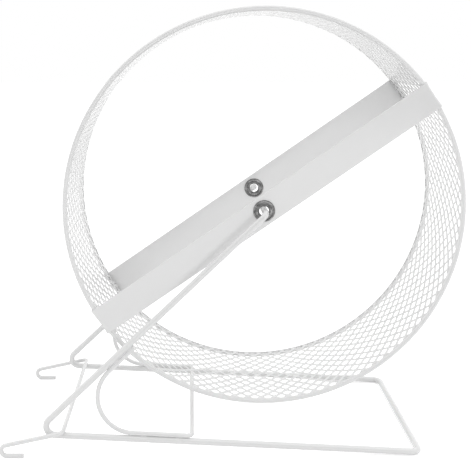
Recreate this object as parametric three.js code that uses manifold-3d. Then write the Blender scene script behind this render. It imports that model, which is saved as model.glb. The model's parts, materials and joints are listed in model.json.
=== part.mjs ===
// Hamster wheel: a mesh-floored running wheel on a bent wire stand with two cage hooks.
// Millimetres, +Z up, the axle along Y and the side with the front crossbar at -Y.
import * as THREE from 'three';
import { mergeVertices } from 'three/addons/utils/BufferGeometryUtils.js';
import Module from 'manifold-3d';

const wasm = await Module();
wasm.setup();

const { cos, sin, tan, atan2, asin, hypot, ceil, PI } = Math;
const radians = THREE.MathUtils.degToRad;

// Clearances and facets
const SEAT_GAP = 0.3; // between pieces that touch on the real wheel
const CUT_OVERRUN = 2;
const BEND_STEP = radians(15); // turn between two rings of a bent wire
const HOOP_STEPS = 64;
const STAND_SIDES = 12;
const THIN_SIDES = 10;
const HOOP_SIDES = 8;

// Wheel
const WHEEL_DIAMETER = 280;
const RIM_SPACING = 94; // between the centre planes of the two hoops
const RIM_WIRE = 3;
const CROSSBAR_WIDTH = 20;
const CROSSBAR_SHEET = 0.8;
const CROSSBAR_ANGLE = radians(34.9);
const EYELET_PLAY = 1.2; // round the axle stub
const EYELET_WALL = 0.8;
const EYELET_FLANGE = 4.2; // from the bore's wall to the flange's edge
const EYELET_ROLL = 1.1; // thickness of the rolled flange
const EYELET_SIDES = 28;

// Mesh floor
const MESH_SHEET = 1;
const MESH_STRAND = 1.2;
const MESH_EDGE = 1.3; // plain strip along each hoop
const MESH_INSET = 0.4; // from a hoop's outer face to the mesh edge
const DIAMOND_COUNT = 42; // round the floor
const HALF_ROWS = 8; // half diamonds across the floor

// Stand
const STAND_WIRE = 4.4;
const FLOOR_GAP = 22.2; // from the wheel down to the middle of the rails
const RAIL_SPREAD = 19.1; // from a hoop's centre plane out to its rail
const RAIL_RIGHT = 116.4; // from the axle to the cross rail
const LEG_FOOT = 152.6; // from the axle to where leg and rail would meet
const LEG_BEND = 6.3;
const RAIL_BEND = 6;
const ELBOW_REACH = 10.5; // from the crossbar out to the elbow
const ELBOW_RIGHT = 1;
const ELBOW_DROP = 0.6;
const ELBOW_BEND = 4.5;
const STUB_END = 3; // of the stub, past the crossbar's inner face
const STUB_LIFT = 0.6; // the wheel hangs on the stub

// Brace wire
const BRACE_WIRE = 3;
const BRACE_ARC = 25.6;
const BRACE_LEFT = 42.5; // from the axle to the brace's cross stretch
const BRACE_LAP = 25; // of the end that lies along the leg
const BRACE_BEND = 4;

// Hook wire
const HOOK_WIRE = 3;
const HOOK_INSET = 20.6; // from the legs' feet in to the hook wire's cross stretch
const HOOK_SIDE_GAP = 1.8; // between an arm and the leg that it passes
const HOOK_DROOP = radians(15.2);
const HOOK_ARM = 42; // from the cross stretch out to the hook's far end
const HOOK_DROP = 6.9; // height of the hook's closed end
const HOOK_BEND = 3.6;
const HOOK_SHOULDER_BEND = 4;
const HOOK_TIP = 15.7;
const HOOK_TIP_RISE = radians(3);

// Places that several pieces share
const WHEEL_RADIUS = WHEEL_DIAMETER / 2;
const RIM_RADIUS = WHEEL_RADIUS - RIM_WIRE / 2;
const CROSSBAR_INNER = RIM_WIRE / 2 + SEAT_GAP; // out from a hoop's centre plane
const CROSSBAR_OUTER = CROSSBAR_INNER + CROSSBAR_SHEET;
const EYELET_BORE = STAND_WIRE / 2 + EYELET_PLAY;
const EYELET_BARREL = EYELET_BORE + EYELET_WALL;
const RAIL_Z = -(WHEEL_RADIUS + FLOOR_GAP);
const RAIL_Y = RIM_SPACING / 2 + RAIL_SPREAD;
const ELBOW_Y = RIM_SPACING / 2 + CROSSBAR_OUTER + ELBOW_REACH;
const BRACE_Z = RAIL_Z + (STAND_WIRE + BRACE_WIRE) / 2 + SEAT_GAP;
const HOOK_Z = RAIL_Z + (STAND_WIRE + HOOK_WIRE) / 2 + SEAT_GAP;
const HOOK_Y = RAIL_Y + (STAND_WIRE + HOOK_WIRE) / 2 + HOOK_SIDE_GAP;
const HOOK_LEFT = LEG_FOOT - HOOK_INSET;
const HOOK_REACH = HOOK_LEFT + HOOK_ARM;

const corner = (x, y, z, bend = 0) => ({ at: new THREE.Vector3(x, y, z), bend });
const mirrored = (corners) => corners.map(({ at, bend }) => corner(at.x, -at.y, at.z, bend));

/** A wire as a bender leaves it: straight runs joined by round bends, with no twist. */
class BentWire extends THREE.Curve {
  /** One flat of the section faces flatNormal on the run that starts at corner flatRun. */
  constructor(corners, flatRun, flatNormal) {
    super();
    this.points = [];
    this.tangents = [];
    corners.forEach((_, index) => {
      if (index === flatRun + 1) this.flatIndex = this.points.length - 1;
      this.addCorner(corners, index);
    });
    this.flatNormal = flatNormal.clone();
  }

  get steps() {
    return this.points.length - 1;
  }

  addStation(point, tangent) {
    this.points.push(point);
    this.tangents.push(tangent);
  }

  addCorner(corners, index) {
    const { at, bend } = corners[index];
    const before = corners[index - 1];
    const after = corners[index + 1];
    const incoming = before && at.clone().sub(before.at).normalize();
    const outgoing = after && after.at.clone().sub(at).normalize();
    if (!before || !after) {
      this.addStation(at.clone(), (outgoing ?? incoming).clone());
      return;
    }
    const turn = incoming.angleTo(outgoing);
    const axis = new THREE.Vector3().crossVectors(incoming, outgoing).normalize();
    const inward = new THREE.Vector3().crossVectors(axis, incoming);
    const start = at.clone().addScaledVector(incoming, -bend * tan(turn / 2));
    const centre = start.clone().addScaledVector(inward, bend);
    const stepCount = ceil(turn / BEND_STEP);
    for (let step = 0; step <= stepCount; step += 1) {
      const angle = (turn * step) / stepCount;
      const spoke = start.clone().sub(centre).applyAxisAngle(axis, angle);
      this.addStation(centre.clone().add(spoke), incoming.clone().applyAxisAngle(axis, angle));
    }
  }

  getPointAt(u) {
    return this.points[Math.round(u * this.steps)].clone();
  }

  getTangentAt(u) {
    return this.tangents[Math.round(u * this.steps)].clone();
  }

  computeFrenetFrames() {
    const { tangents, flatIndex } = this;
    const normals = [];
    normals[flatIndex] = this.flatNormal.clone();
    const carry = (from, to) => {
      const turn = new THREE.Quaternion().setFromUnitVectors(tangents[from], tangents[to]);
      normals[to] = normals[from].clone().applyQuaternion(turn);
    };
    for (let i = flatIndex; i < tangents.length - 1; i += 1) carry(i, i + 1);
    for (let i = flatIndex; i > 0; i -= 1) carry(i, i - 1);
    const binormals = tangents.map((t, i) => new THREE.Vector3().crossVectors(t, normals[i]));
    return { tangents, normals, binormals };
  }
}

/** The wire's section: a polygon whose flats lie at the wire's true radius. */
function wireSection(diameter, sides) {
  const radius = diameter / 2 / cos(PI / sides);
  const points = Array.from({ length: sides }, (_, index) => {
    const angle = ((index + 1 / 2) * 2 * PI) / sides;
    return new THREE.Vector2(radius * cos(angle), radius * sin(angle));
  });
  return new THREE.Shape(points);
}

function wireGeometry(wire, diameter, sides) {
  const section = wireSection(diameter, sides);
  return new THREE.ExtrudeGeometry(section, { steps: wire.steps, extrudePath: wire });
}

/** Turns a closed geometry into a manifold-3d solid. */
function toSolid(geometry) {
  const bare = geometry.clone();
  bare.deleteAttribute('normal');
  bare.deleteAttribute('uv');
  const merged = mergeVertices(bare);
  const vertProperties = new Float32Array(merged.attributes.position.array);
  const triVerts = new Uint32Array(merged.index.array);
  return new wasm.Manifold(new wasm.Mesh({ numProp: 3, vertProperties, triVerts }));
}

function fromSolid(solid) {
  const { vertProperties, triVerts } = solid.getMesh();
  const geometry = new THREE.BufferGeometry();
  geometry.setAttribute('position', new THREE.BufferAttribute(vertProperties, 3));
  geometry.setIndex(new THREE.BufferAttribute(triVerts, 1));
  return geometry;
}

/** White powder coat over steel. */
function powderCoat() {
  return new THREE.MeshStandardMaterial({ color: 0xefefed, roughness: 0.42, metalness: 0 });
}

/** The bare steel of the rolled eyelets. */
function eyeletSteel() {
  return new THREE.MeshStandardMaterial({ color: 0x8a8a88, roughness: 0.3, metalness: 1 });
}

function piece(name, geometry, material) {
  const mesh = new THREE.Mesh(geometry, material);
  mesh.name = name;
  return mesh;
}

/** A round wire hoop whose axis is the axle. */
function rim(name, side) {
  const geometry = new THREE.TorusGeometry(RIM_RADIUS, RIM_WIRE / 2, HOOP_SIDES, HOOP_STEPS);
  geometry.rotateX(PI / 2);
  const mesh = piece(name, geometry, powderCoat());
  mesh.position.y = (side * RIM_SPACING) / 2;
  return mesh;
}

/**
 * The running floor: expanded metal rolled into a band. Strands run along both diagonals of a
 * grid of half diamonds, and each crossing, strand and opening takes its corners from that grid.
 */
class MeshFloor {
  constructor() {
    const hoopInside = (RIM_RADIUS - RIM_WIRE / 2) * cos(PI / HOOP_STEPS);
    this.outer = hoopInside - SEAT_GAP;
    this.inner = this.outer - MESH_SHEET;
    this.halfWidth = (RIM_SPACING + RIM_WIRE) / 2 - MESH_INSET;
    this.columns = 2 * DIAMOND_COUNT;
    this.stepRound = (2 * PI * this.outer) / this.columns;
    this.stepAcross = (2 * (this.halfWidth - MESH_EDGE)) / HALF_ROWS;
    const slant = hypot(this.stepRound, this.stepAcross);
    this.cornerRound = (MESH_STRAND * slant) / (2 * this.stepAcross) / this.stepRound;
    this.cornerAcross = (MESH_STRAND * slant) / (2 * this.stepRound) / this.stepAcross;
    this.positions = [];
    this.indices = [];
    this.known = new Map();
  }

  /** Index of the vertex at a grid place on the outer (0) or inner (1) face. */
  vertex(column, across, face) {
    const wrapped = (column + this.columns) % this.columns;
    const key = [wrapped.toFixed(6), across.toFixed(6), face].join(' ');
    if (!this.known.has(key)) {
      const angle = (wrapped * 2 * PI) / this.columns;
      const radius = face === 0 ? this.outer : this.inner;
      this.known.set(key, this.positions.length / 3);
      this.positions.push(radius * sin(angle), across, radius * cos(angle));
    }
    return this.known.get(key);
  }

  acrossAt(row) {
    return (row - HALF_ROWS / 2) * this.stepAcross;
  }

  /** Corner of the crossing at a column and row, towards (right, up). */
  crossing(column, row, right, up) {
    const shift = up * this.cornerAcross;
    return [column + right * this.cornerRound, this.acrossAt(row + shift)];
  }

  /** The same patch on both faces, its corners given anticlockwise from outside. */
  patch(corners) {
    const [outer, inner] = [0, 1].map((face) =>
      corners.map(([column, across]) => this.vertex(column, across, face)),
    );
    for (let i = 1; i < corners.length - 1; i += 1) {
      this.indices.push(outer[0], outer[i], outer[i + 1]);
      this.indices.push(inner[0], inner[i + 1], inner[i]);
    }
  }

  /** A wall through the sheet, with the metal on the left of the way from start to end. */
  wall(start, end) {
    const [a, b] = [start, end].map(([column, across]) => this.vertex(column, across, 0));
    const [c, d] = [end, start].map(([column, across]) => this.vertex(column, across, 1));
    this.indices.push(b, a, c, c, a, d);
  }

  addCrossing(column, row) {
    const right = this.crossing(column, row, 1, 0);
    const left = this.crossing(column, row, -1, 0);
    const top = this.crossing(column, row, 0, 1);
    const bottom = this.crossing(column, row, 0, -1);
    if (row === 0) this.patch([left, right, top]);
    else if (row === HALF_ROWS) this.patch([left, bottom, right]);
    else this.patch([left, bottom, right, top]);
  }

  /** The two strands that leave a crossing for the next row. */
  addStrands(column, row) {
    const top = this.crossing(column, row, 0, 1);
    for (const side of [1, -1]) {
      const next = column + side;
      const near = this.crossing(column, row, side, 0);
      const far = this.crossing(next, row + 1, 0, -1);
      const farSide = this.crossing(next, row + 1, -side, 0);
      this.patch(side > 0 ? [near, far, farSide, top] : [near, top, farSide, far]);
      if (side > 0) {
        this.wall(near, far);
        this.wall(farSide, top);
      } else {
        this.wall(far, near);
        this.wall(top, farSide);
      }
    }
  }

  /** The plain strip beyond the last crossings, below (-1) or above (1) the grid. */
  addEdge(column, row, side) {
    const lineAcross = this.acrossAt(row);
    const rimAcross = lineAcross + side * MESH_EDGE;
    const left = column - this.cornerRound;
    const right = column + this.cornerRound;
    const next = column + 2 - this.cornerRound;
    for (const [from, to] of [[left, right], [right, next]]) {
      const low = side < 0 ? rimAcross : lineAcross;
      const high = side < 0 ? lineAcross : rimAcross;
      this.patch([[from, low], [to, low], [to, high], [from, high]]);
      if (side < 0) this.wall([from, rimAcross], [to, rimAcross]);
      else this.wall([to, rimAcross], [from, rimAcross]);
    }
    if (side < 0) this.wall([next, lineAcross], [right, lineAcross]);
    else this.wall([right, lineAcross], [next, lineAcross]);
  }

  build() {
    for (let row = 0; row <= HALF_ROWS; row += 1) {
      for (let column = row % 2; column < this.columns; column += 2) {
        this.addCrossing(column, row);
        if (row < HALF_ROWS) this.addStrands(column, row);
        if (row === 0) this.addEdge(column, row, -1);
        if (row === HALF_ROWS) this.addEdge(column, row, 1);
      }
    }
    const geometry = new THREE.BufferGeometry();
    geometry.setAttribute('position', new THREE.Float32BufferAttribute(this.positions, 3));
    geometry.setIndex(this.indices);
    geometry.computeVertexNormals();
    return geometry;
  }
}

/** The crossbar's side outline: a flat strap whose ends are rolled round the hoop's wire. */
function crossbarOutline() {
  const lip = RIM_RADIUS - RIM_WIRE / 2 + SEAT_GAP;
  const outline = new THREE.Shape();
  outline.moveTo(-RIM_RADIUS, CROSSBAR_OUTER);
  outline.absarc(-RIM_RADIUS, 0, CROSSBAR_OUTER, PI / 2, (3 * PI) / 2, false);
  outline.lineTo(-lip, -CROSSBAR_OUTER);
  outline.lineTo(-lip, -CROSSBAR_INNER);
  outline.absarc(-RIM_RADIUS, 0, CROSSBAR_INNER, -PI / 2, PI / 2, true);
  outline.absarc(RIM_RADIUS, 0, CROSSBAR_INNER, PI / 2, -PI / 2, true);
  outline.lineTo(lip, -CROSSBAR_INNER);
  outline.lineTo(lip, -CROSSBAR_OUTER);
  outline.absarc(RIM_RADIUS, 0, CROSSBAR_OUTER, -PI / 2, PI / 2, false);
  return outline;
}

function crossbar(name, side) {
  const depth = CROSSBAR_WIDTH;
  const strap = new THREE.ExtrudeGeometry(crossbarOutline(), {
    depth,
    bevelEnabled: false,
    curveSegments: 8,
  });
  strap.translate(0, 0, -depth / 2);
  const drill = new THREE.CylinderGeometry(
    EYELET_BARREL + SEAT_GAP,
    EYELET_BARREL + SEAT_GAP,
    CROSSBAR_SHEET + CUT_OVERRUN,
    EYELET_SIDES,
  );
  drill.translate(0, (CROSSBAR_INNER + CROSSBAR_OUTER) / 2, 0);
  const mesh = piece(name, fromSolid(toSolid(strap).subtract(toSolid(drill))), powderCoat());
  mesh.position.y = (side * RIM_SPACING) / 2;
  if (side < 0) mesh.rotation.x = PI;
  return mesh;
}

/** A spool-shaped steel eyelet: a barrel through the crossbar and a rolled flange on each face. */
function eyelet(name, side) {
  const grip = CROSSBAR_SHEET / 2 + SEAT_GAP;
  const face = grip + EYELET_ROLL;
  const edge = EYELET_BORE + EYELET_FLANGE;
  const roll = EYELET_ROLL / 2;
  const outline = new THREE.Shape();
  outline.moveTo(EYELET_BORE, face - roll);
  outline.absarc(EYELET_BORE + roll, face - roll, roll, PI, PI / 2, true);
  outline.absarc(edge - roll, face - roll, roll, PI / 2, -PI / 2, true);
  outline.lineTo(EYELET_BARREL, grip);
  outline.lineTo(EYELET_BARREL, -grip);
  outline.absarc(edge - roll, roll - face, roll, PI / 2, -PI / 2, true);
  outline.absarc(EYELET_BORE + roll, roll - face, roll, -PI / 2, -PI, true);
  outline.lineTo(EYELET_BORE, face - roll);
  const points = outline.getPoints(2).reverse();
  const mesh = piece(name, new THREE.LatheGeometry(points, EYELET_SIDES), eyeletSteel());
  mesh.position.y = side * (RIM_SPACING / 2 + (CROSSBAR_INNER + CROSSBAR_OUTER) / 2);
  return mesh;
}

function wheel() {
  const bars = new THREE.Group();
  bars.rotation.y = -CROSSBAR_ANGLE;
  bars.add(crossbar('front_crossbar', -1), crossbar('back_crossbar', 1));
  const group = new THREE.Group();
  group.add(
    rim('front_rim', -1),
    rim('back_rim', 1),
    piece('mesh_tread', new MeshFloor().build(), powderCoat()),
    eyelet('front_eyelet', -1),
    eyelet('back_eyelet', 1),
    bars,
  );
  return group;
}

/** How far the stand leans to rest on its hooks and its cross rail. */
function restTilt() {
  const [, low] = hookCorners();
  const run = RAIL_RIGHT - (low.at.x + HOOK_BEND);
  const drop = RAIL_Z - (low.at.z + HOOK_BEND * tan(PI / 4 + HOOK_TIP_RISE / 2));
  const rise = HOOK_BEND + (HOOK_WIRE - STAND_WIRE) / 2;
  return asin(rise / hypot(run, drop)) + atan2(drop, run);
}

/** Half of the stand wire, from the stub in the front eyelet to the front right corner. */
function standCorners() {
  const hubY = -(RIM_SPACING / 2 + (CROSSBAR_INNER + CROSSBAR_OUTER) / 2);
  const elbow = corner(ELBOW_RIGHT, -ELBOW_Y, -ELBOW_DROP, ELBOW_BEND);
  const hub = new THREE.Vector3(0, hubY, STUB_LIFT);
  const inward = hub.clone().sub(elbow.at).normalize();
  const past = (STUB_END + CROSSBAR_SHEET / 2) / inward.y;
  const tip = hub.clone().addScaledVector(inward, past);
  return [
    corner(tip.x, tip.y, tip.z),
    elbow,
    corner(-LEG_FOOT, -RAIL_Y, RAIL_Z, LEG_BEND),
    corner(RAIL_RIGHT, -RAIL_Y, RAIL_Z, RAIL_BEND),
  ];
}

/** One wire: stub, leg, rail, cross rail, rail, leg and stub. */
function standFrame(floorDown) {
  const half = standCorners();
  const wire = new BentWire([...half, ...mirrored(half).reverse()], half.length - 1, floorDown);
  return piece('stand_frame', wireGeometry(wire, STAND_WIRE, STAND_SIDES), powderCoat());
}

/** One wire: down along a leg, round an arc, on a rail, across, and back up the other side. */
function braceWire() {
  const [, elbow, foot] = standCorners();
  const up = elbow.at.clone().sub(foot.at).normalize();
  const flatLength = hypot(up.x, up.z);
  const [legCos, legSin] = [up.x / flatLength, up.z / flatLength];
  const beside = (STAND_WIRE + BRACE_WIRE) / 2 + SEAT_GAP;
  const footX = foot.at.x + (beside + (BRACE_Z - RAIL_Z) * legCos) / legSin;
  const arc = corner(footX, -RAIL_Y, BRACE_Z, BRACE_ARC);
  const turn = PI - up.angleTo(new THREE.Vector3(1, 0, 0));
  const end = arc.at.clone().addScaledVector(up, BRACE_ARC * tan(turn / 2) + BRACE_LAP);
  const half = [
    corner(end.x, end.y, end.z),
    arc,
    corner(-BRACE_LEFT, -RAIL_Y, BRACE_Z, BRACE_BEND),
  ];
  const down = new THREE.Vector3(0, 0, -1);
  const wire = new BentWire([...half, ...mirrored(half).reverse()], half.length - 1, down);
  return piece('brace_wire', wireGeometry(wire, BRACE_WIRE, THIN_SIDES), powderCoat());
}

/** Half of the hook wire, from the front hook's tip to its shoulder over the front rail. */
function hookCorners() {
  const armDrop = HOOK_ARM * tan(HOOK_DROOP);
  const closedZ = HOOK_Z - armDrop;
  const closed = [
    corner(-HOOK_REACH, -HOOK_Y, closedZ - HOOK_DROP, HOOK_BEND),
    corner(-HOOK_REACH, -HOOK_Y, closedZ, HOOK_BEND),
  ];
  const low = closed[0].at;
  const tipX = low.x + HOOK_TIP * cos(HOOK_TIP_RISE);
  const tipZ = low.z + HOOK_TIP * sin(HOOK_TIP_RISE);
  return [
    corner(tipX, low.y, tipZ),
    ...closed,
    corner(-HOOK_LEFT, -HOOK_Y, HOOK_Z, HOOK_SHOULDER_BEND),
  ];
}

/** One wire: front hook, over both rails, back hook. */
function hookWire() {
  const half = hookCorners();
  const armBelow = new THREE.Vector3(sin(HOOK_DROOP), 0, -cos(HOOK_DROOP));
  const wire = new BentWire([...half, ...mirrored(half).reverse()], 2, armBelow);
  return piece('hook_wire', wireGeometry(wire, HOOK_WIRE, THIN_SIDES), powderCoat());
}

/** The wires that stand still, leaning as they rest on the floor. */
function stand() {
  const tilt = restTilt();
  const floorDown = new THREE.Vector3(sin(tilt), 0, -cos(tilt));
  const group = new THREE.Group();
  group.rotation.y = tilt;
  group.add(standFrame(floorDown), braceWire(), hookWire());
  return group;
}

/** The whole wheel, moved so that its box stands centred on the origin. */
function hamsterWheel() {
  const group = new THREE.Group();
  group.add(wheel(), stand());
  group.updateMatrixWorld(true);
  const box = new THREE.Box3().setFromObject(group, true);
  const centre = box.getCenter(new THREE.Vector3());
  group.position.set(-centre.x, -centre.y, -box.min.z);
  return group;
}

export default hamsterWheel();
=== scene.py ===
"""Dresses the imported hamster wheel: smooth powder-coated wire, a fine mesh floor and dark eyelets.

Everything is in metres with +Z up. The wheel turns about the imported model's axle, which runs along
Y, and the stand leans a little so that it rests on its two hooks and its cross rail. The sizes are
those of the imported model, so each piece lies where its plain solid is.
"""

import json
import logging
import math
from dataclasses import dataclass
from enum import Enum
from functools import partial
from typing import Callable, Sequence

import bmesh
import bpy
from bmesh.types import BMesh
from bpy.types import ID, Material, Mesh, Node, NodeSocket, NodeTree, Object, World
from mathutils import Matrix, Vector

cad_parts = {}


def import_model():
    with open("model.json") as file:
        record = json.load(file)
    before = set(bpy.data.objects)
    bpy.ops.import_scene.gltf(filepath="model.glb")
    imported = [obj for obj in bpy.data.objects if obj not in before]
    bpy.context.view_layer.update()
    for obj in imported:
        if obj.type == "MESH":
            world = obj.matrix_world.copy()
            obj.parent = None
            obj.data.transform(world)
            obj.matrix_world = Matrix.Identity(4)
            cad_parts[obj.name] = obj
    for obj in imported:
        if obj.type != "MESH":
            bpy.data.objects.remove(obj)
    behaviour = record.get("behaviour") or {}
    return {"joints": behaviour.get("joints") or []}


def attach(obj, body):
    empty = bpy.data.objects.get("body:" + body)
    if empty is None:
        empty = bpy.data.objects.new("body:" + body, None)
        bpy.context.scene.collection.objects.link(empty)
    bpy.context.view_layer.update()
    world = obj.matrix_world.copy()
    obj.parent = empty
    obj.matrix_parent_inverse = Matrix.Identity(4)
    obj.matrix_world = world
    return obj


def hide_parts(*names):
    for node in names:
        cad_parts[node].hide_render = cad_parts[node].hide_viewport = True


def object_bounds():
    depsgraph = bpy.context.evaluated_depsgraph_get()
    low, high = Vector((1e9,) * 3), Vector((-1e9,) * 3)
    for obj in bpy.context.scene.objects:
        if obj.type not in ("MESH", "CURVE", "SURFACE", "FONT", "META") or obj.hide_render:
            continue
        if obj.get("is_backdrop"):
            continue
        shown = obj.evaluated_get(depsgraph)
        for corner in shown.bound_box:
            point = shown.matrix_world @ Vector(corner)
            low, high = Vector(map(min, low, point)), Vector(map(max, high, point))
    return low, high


LOG = logging.getLogger("hamster_wheel")
UP = Vector((0.0, 0.0, 1.0))
RIGHT = Vector((1.0, 0.0, 0.0))
WHITE = (1.0, 1.0, 1.0, 1.0)
# Edges sharper than this stay hard, unless a piece has an angle of its own.
CREASE = math.radians(40)

Pair = tuple[float, float]
Triple = tuple[float, float, float]


class Body(Enum):
    """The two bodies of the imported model."""

    STAND = "stand"
    WHEEL = "wheel"


class Slot(Enum):
    """The record's material slots."""

    COAT = "white_powder_coat"
    STEEL = "eyelet_steel"


class Side(Enum):
    """The two mirrored halves; the value is the direction along Y."""

    FRONT = -1
    BACK = 1

    @property
    def word(self) -> str:
        """Name of the half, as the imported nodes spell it."""
        return self.name.lower()


def spoke(angle: float) -> Vector:
    """The direction at an angle round the axle, counted from +X up."""
    return Vector((math.cos(angle), 0, math.sin(angle)))


class Graph:
    """A node tree with short calls for adding nodes."""

    def __init__(self, tree: NodeTree) -> None:
        """Keeps the tree that the calls add to."""
        self.tree = tree

    @classmethod
    def emptied(cls, owner: Material | World) -> "Graph":
        """Empties the node tree of a material or a world.

        Args:
            owner: The material or world.

        Returns:
            The graph of its tree.
        """
        owner.use_nodes = True
        owner.node_tree.nodes.clear()
        return cls(owner.node_tree)

    def node(
        self, kind: str, inputs: dict[str | int, object] | None = None, **settings: object
    ) -> Node:
        """Adds a node.

        Args:
            kind: The node's type name.
            inputs: A socket to link or a plain value for an input, by its name or place.
            **settings: Properties to set on the node first.

        Returns:
            The new node.
        """
        made = self.tree.nodes.new(kind)
        for name, setting in settings.items():
            setattr(made, name, setting)
        for key, value in (inputs or {}).items():
            if isinstance(value, NodeSocket):
                self.tree.links.new(value, made.inputs[key])
            else:
                made.inputs[key].default_value = value
        return made

    def math(self, operation: str, first: object, second: object = 0.0) -> NodeSocket:
        """The result of a maths node on two sockets or numbers."""
        return self.node("ShaderNodeMath", {0: first, 1: second}, operation=operation).outputs[0]

    def mix(self, factor: object, low: object, high: object) -> NodeSocket:
        """A blend of two sockets or numbers, low where the factor is 0 and high where it is 1."""
        return self.node("ShaderNodeMix", {0: factor, 2: low, 3: high}).outputs[0]

    def surface(self, looks: dict[str, object]) -> None:
        """Ends a material's graph with a Principled shader that has these inputs."""
        shader = self.node("ShaderNodeBsdfPrincipled", looks)
        self.node("ShaderNodeOutputMaterial", {"Surface": shader.outputs["BSDF"]})


def bridged(rings: Sequence[Sequence[Vector]], closed: bool) -> BMesh:
    """A solid with faces between rings of as many points each.

    Args:
        rings: The rings, in order.
        closed: Whether the last ring joins the first; both are capped where it doesn't.

    Returns:
        The bmesh.
    """
    build = bmesh.new()
    made = [[build.verts.new(point) for point in ring] for ring in rings]
    following = made[1:] + made[:1] if closed else made[1:]
    for ring, next_ring in zip(made, following):
        for index in range(len(ring)):
            after = (index + 1) % len(ring)
            build.faces.new((ring[index], ring[after], next_ring[after], next_ring[index]))
    if not closed:
        build.faces.new(made[0])
        build.faces.new(made[-1][::-1])
    bmesh.ops.recalc_face_normals(build, faces=build.faces)
    return build


def soften(build: BMesh, crease: float) -> None:
    """Shades a bmesh smoothly, but for its sharp edges.

    Args:
        build: The bmesh.
        crease: Edges sharper than this stay hard.
    """
    for face in build.faces:
        face.smooth = True
    for edge in build.edges:
        if len(edge.link_faces) == 2:
            edge.smooth = edge.calc_face_angle() < crease


class NodeGroup(Graph):
    """A node group with named inputs and one output."""

    def __init__(self, name: str, kind: str, inputs: dict[str, str], output: str) -> None:
        """Starts the group.

        Args:
            name: The group's name.
            kind: Its type name.
            inputs: The short socket type of each input, by the input's name.
            output: The short socket type of its output.
        """
        super().__init__(bpy.data.node_groups.new(name, kind))
        self.identifiers: dict[str, str] = {}
        interface = self.tree.interface
        for label, short in inputs.items():
            socket = interface.new_socket(label, in_out="INPUT", socket_type="NodeSocket" + short)
            self.identifiers[label] = socket.identifier
        interface.new_socket("Result", in_out="OUTPUT", socket_type="NodeSocket" + output)
        self.entry = self.node("NodeGroupInput")

    def value(self, label: str) -> NodeSocket:
        """The socket of a named input."""
        return self.entry.outputs[label]

    def end(self, result: NodeSocket) -> None:
        """Puts the group's result out."""
        self.node("NodeGroupOutput", {0: result})


def applied_mesh(source: Object) -> Mesh:
    """The plain mesh that an object has once its modifiers are applied."""
    depsgraph = bpy.context.evaluated_depsgraph_get()
    return bpy.data.meshes.new_from_object(source.evaluated_get(depsgraph), depsgraph=depsgraph)


def linked_object(name: str, data: ID) -> Object:
    """Makes an object and links it to the scene.

    Args:
        name: Its name.
        data: Its mesh, camera or light.

    Returns:
        The object.
    """
    made = bpy.data.objects.new(name, data)
    bpy.context.scene.collection.objects.link(made)
    return made


def object_from_bmesh(name: str, build: BMesh, finish: Material | None = None) -> Object:
    """Turns a bmesh into an object in the scene.

    Args:
        name: The object's name.
        build: The bmesh, which is freed.
        finish: The material, where it has one.

    Returns:
        The object.
    """
    mesh = bpy.data.meshes.new(name)
    build.to_mesh(mesh)
    build.free()
    if finish:
        mesh.materials.append(finish)
    return linked_object(name, mesh)


class FormTree(NodeGroup):
    """A Geometry Nodes tree whose named inputs are set for each piece that it makes."""

    def __init__(self, name: str, inputs: dict[str, str]) -> None:
        """Starts the tree with a geometry input, these inputs and the ending's."""
        every = {"Geometry": "Geometry", **inputs, "Crease Angle": "Float", "Material": "Material"}
        super().__init__(name, "GeometryNodeTree", every, "Geometry")

    def then(
        self, geometry: NodeSocket, kind: str, inputs: dict[str, object], **settings: object
    ) -> NodeSocket:
        """Adds a node, as node() does, that takes geometry in and gives it out changed."""
        return self.node(kind, {"Geometry": geometry, **inputs}, **settings).outputs["Geometry"]

    def finish(self, geometry: NodeSocket) -> None:
        """Ends the tree: realized, shaded smoothly between its creases and with its material.

        Args:
            geometry: The socket that holds the made geometry.
        """
        angle = self.node("GeometryNodeInputMeshEdgeAngle").outputs["Unsigned Angle"]
        crease = self.math("GREATER_THAN", angle, self.value("Crease Angle"))
        hard = {"Selection": crease, "Shade Smooth": False}
        geometry = self.then(geometry, "GeometryNodeRealizeInstances", {})
        geometry = self.then(geometry, "GeometryNodeSetShadeSmooth", {}, domain="FACE")
        geometry = self.then(geometry, "GeometryNodeSetShadeSmooth", hard, domain="EDGE")
        material = {"Material": self.value("Material")}
        self.end(self.then(geometry, "GeometryNodeSetMaterial", material))

    def make(self, name: str, seed_mesh: Mesh, **inputs: object) -> Object:
        """Runs the tree on a mesh and keeps the result as a plain mesh.

        Args:
            name: Name of the new object.
            seed_mesh: The mesh that the tree starts from.
            **inputs: Values of the named inputs, with underscores for spaces. The crease angle
                is the usual one where it isn't among them.

        Returns:
            The new object, with no modifier left on it.
        """
        source = linked_object(name + "_source", seed_mesh)
        modifier = source.modifiers.new("form", "NODES")
        modifier.node_group = self.tree
        for label, setting in {"Crease_Angle": CREASE, **inputs}.items():
            modifier[self.identifiers[label.replace("_", " ")]] = setting
        mesh = applied_mesh(source)
        mesh.name = name
        source.modifiers.remove(modifier)
        bpy.data.objects.remove(source)
        return linked_object(name, mesh)


def dress(piece: Object, body: Body, slot: Slot, names: Sequence[str] = ()) -> None:
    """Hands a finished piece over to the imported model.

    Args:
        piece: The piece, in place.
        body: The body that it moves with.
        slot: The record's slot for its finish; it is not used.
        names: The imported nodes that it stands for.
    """
    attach(piece, body.value)
    if names:
        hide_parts(*names)
    LOG.info("%s: %d faces, on %s", piece.name, len(piece.data.polygons), body.value)


def opaque(colour: Sequence[float]) -> tuple[float, ...]:
    """A colour with full alpha, as colour sockets take it."""
    return (*colour, 1.0)


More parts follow.
